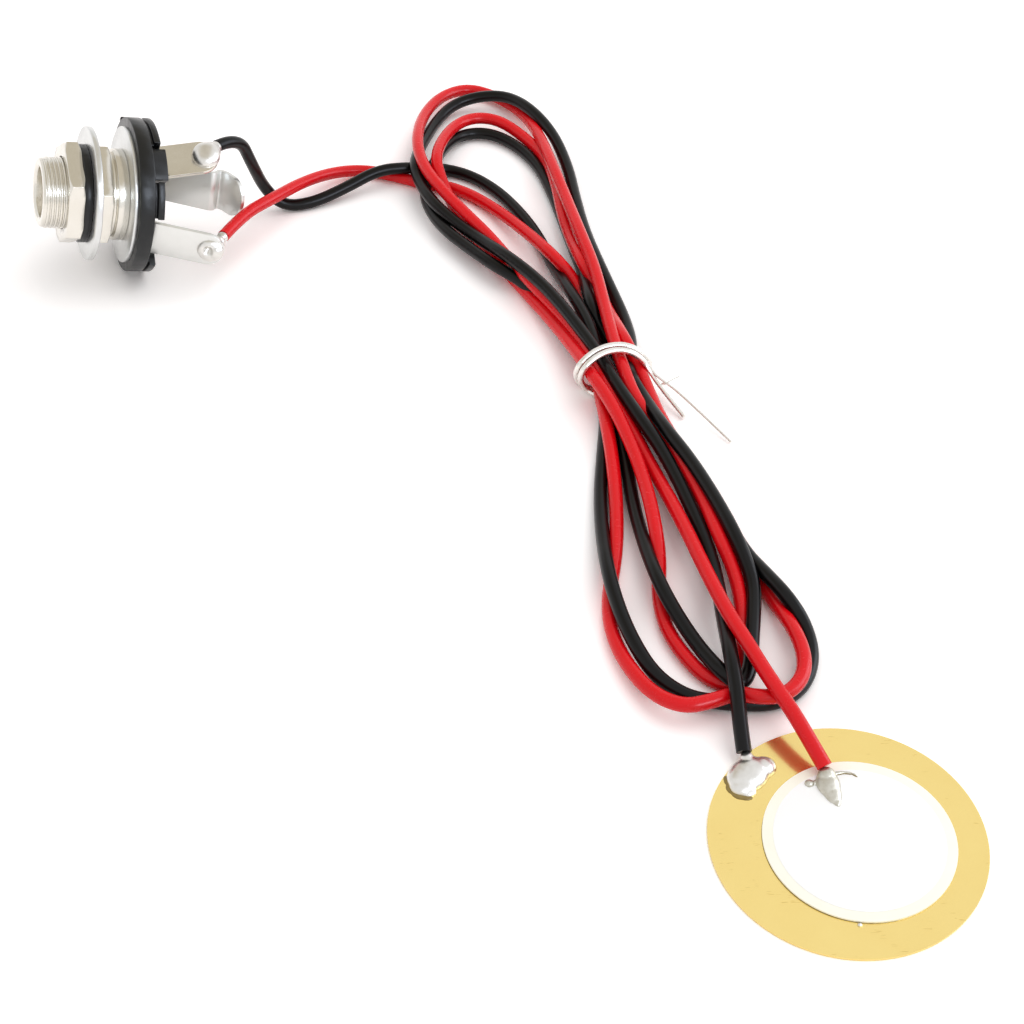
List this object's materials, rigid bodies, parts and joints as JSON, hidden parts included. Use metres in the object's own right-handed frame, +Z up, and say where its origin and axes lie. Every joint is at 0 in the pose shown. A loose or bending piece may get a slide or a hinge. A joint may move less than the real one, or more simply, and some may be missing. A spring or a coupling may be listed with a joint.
{
  "type": "piezo pickup with jack socket",
  "caption": "Contact pickup: thin brass disc with a bonded piezo ceramic, red and black leads folded in a tied hank, and a threaded jack socket with nuts and washers.",
  "frame": {"origin": "centre of the brass disc's underside, on the surface that the part lies on", "axes": "+Z up out of the disc's face, +Y from the disc towards the hank, +X to the right seen from the disc"},
  "size_m": [0.1074, 0.1489, 0.0194],
  "materials": {
    "brass_sheet": "bright rolled brass with fine scratches",
    "ceramic": "fired ceramic, cream",
    "silver_paint": "fired silver paint, matt white",
    "solder": "bright solder",
    "red_insulation": "red PVC",
    "black_insulation": "black PVC",
    "wire_bundle": "red and black PVC",
    "tie_wire": "bright metal strip",
    "nickel": "nickel plate",
    "washer_steel": "bright zinc plate",
    "black_moulding": "black moulded plastic"
  },
  "bodies": {
    "root": {"brass_disc": "brass_sheet", "piezo_ceramic": "ceramic", "silver_electrode": "silver_paint", "brass_solder": "solder", "ceramic_solder": "solder", "twist_tie": "tie_wire", "wire_hank": "wire_bundle", "red_wire_jack_end": "red_insulation", "red_wire_disc_end": "red_insulation", "black_wire_jack_end": "black_insulation", "black_wire_disc_end": "black_insulation", "jack_bushing": "nickel", "rear_washer": "washer_steel", "front_washer": "washer_steel", "black_ring": "black_moulding", "rear_nut": "nickel", "front_nut": "nickel", "insulator_body": "black_moulding", "sleeve_lug": "nickel", "tip_contact": "nickel", "sleeve_solder": "solder", "tip_solder": "solder"}
  },
  "joints": []
}
